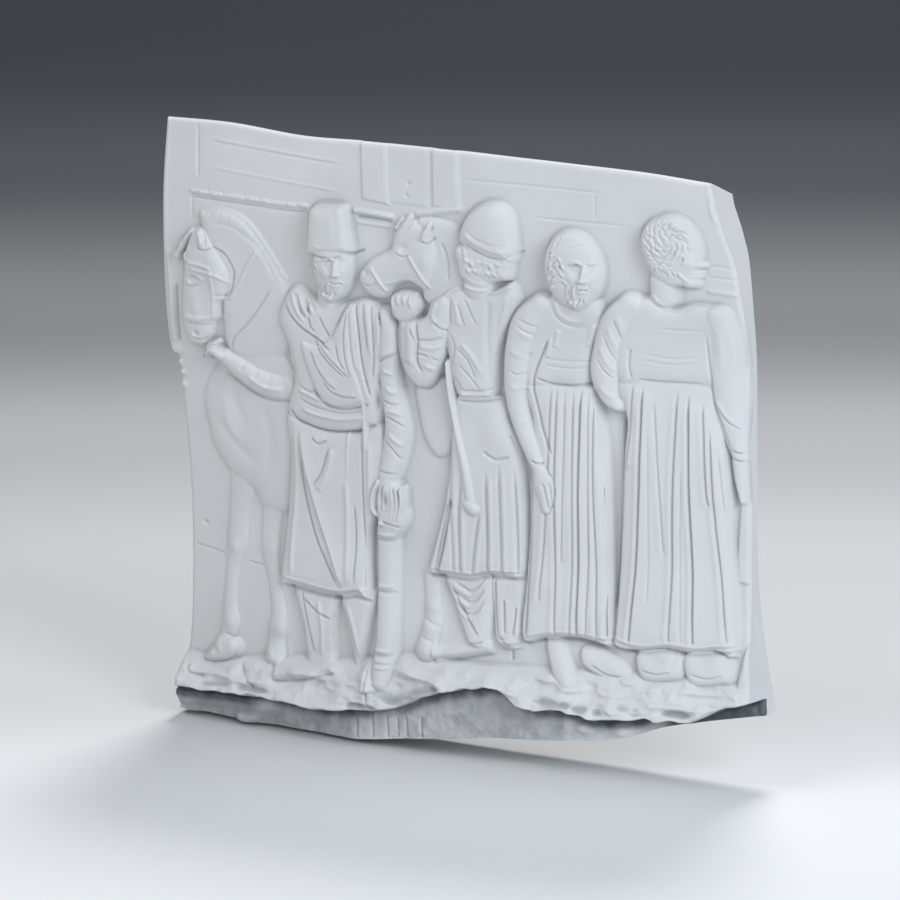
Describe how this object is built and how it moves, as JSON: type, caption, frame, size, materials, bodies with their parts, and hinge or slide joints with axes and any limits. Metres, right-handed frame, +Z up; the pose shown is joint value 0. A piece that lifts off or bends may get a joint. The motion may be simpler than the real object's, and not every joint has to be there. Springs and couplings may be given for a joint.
{
  "type": "relief plaque",
  "caption": "Cast plaster wall plaque with a bowed slab, carved in relief with robed and capped men and bridled horses on rocky ground before a panelled wall",
  "frame": {"origin": "the middle of the flat back, where the plaque meets the wall", "axes": "+Z up, +Y out of the back into the wall, the carved face looks to -Y, +X to the right of someone who looks at the face"},
  "size_m": [0.6593, 0.0976, 0.6212],
  "materials": {
    "plaster": "matt unpainted plaster"
  },
  "bodies": {
    "root": {"relief_plaque": "plaster"}
  },
  "joints": []
}
